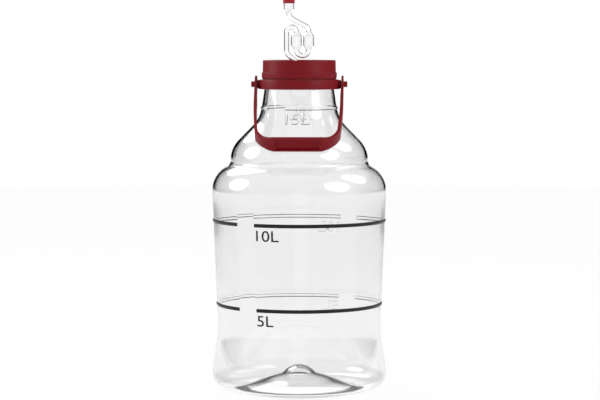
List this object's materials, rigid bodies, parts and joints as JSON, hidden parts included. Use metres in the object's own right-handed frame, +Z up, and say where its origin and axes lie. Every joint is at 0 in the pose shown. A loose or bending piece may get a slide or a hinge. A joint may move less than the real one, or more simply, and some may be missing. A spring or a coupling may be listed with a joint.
{
  "type": "plastic carboy",
  "caption": "Clear wide-mouth fermentation carboy with a screw lid, a carrying bail on a neck collar and a twin-bubble airlock in the lid.",
  "frame": {"origin": "centre of the foot ring, on the surface that the carboy stands on", "axes": "+Z up along the jar's axis, -Y towards the front, where the bail rests, +X to the right seen from the front"},
  "size_m": [0.2448, 0.2448, 0.5511],
  "materials": {
    "clear_pet": "clear, glossy",
    "clear_styrene": "clear, glossy",
    "dark_red_plastic": "satin",
    "red_dust_cap_plastic": "satin",
    "pale_rubber": "matte",
    "white_foam": "matte"
  },
  "bodies": {
    "jar": {"jar": "clear_pet"},
    "gasket": {"lid_gasket": "white_foam"},
    "lid": {"screw_lid": "dark_red_plastic"},
    "collar": {"handle_collar": "dark_red_plastic"},
    "bail": {"bail_handle": "dark_red_plastic"},
    "grommet": {"grommet": "pale_rubber"},
    "airlock": {"airlock_front_half": "clear_styrene", "airlock_rear_half": "clear_styrene"},
    "dust_cap": {"airlock_dust_cap": "red_dust_cap_plastic"}
  },
  "joints": [
    {"name": "collar_turn", "type": "hinge", "parent": "jar", "child": "collar", "pos_m": [0, 0, 0.42964], "axis": [0, 0, 1], "continuous": true},
    {"name": "bail_swing", "type": "hinge", "parent": "collar", "child": "bail", "pos_m": [0, 0, 0.42964], "axis": [-1, 0, 0], "range_deg": [0, 256.6]},
    {"name": "lid_lift", "type": "slide", "parent": "jar", "child": "gasket", "axis": [0, 0, 1], "range_m": [0, 0.009]},
    {"name": "lid_turn", "type": "hinge", "parent": "gasket", "child": "lid", "pos_m": [0, 0, 0.4633], "axis": [0, 0, 1], "range_deg": [0, 540]},
    {"name": "airlock_turn", "type": "hinge", "parent": "lid", "child": "grommet", "pos_m": [0, 0, 0.4493], "axis": [0, 0, 1], "continuous": true},
    {"name": "airlock_lift", "type": "slide", "parent": "grommet", "child": "airlock", "axis": [0, 0, 1], "range_m": [0, 0.03]},
    {"name": "dust_cap_lift", "type": "slide", "parent": "airlock", "child": "dust_cap", "axis": [0, 0, 1], "range_m": [0, 0.012]}
  ],
  "couplings": [
    {"joint": "lid_lift", "follows": "lid_turn", "m_per_rad": 0.00095493}
  ]
}
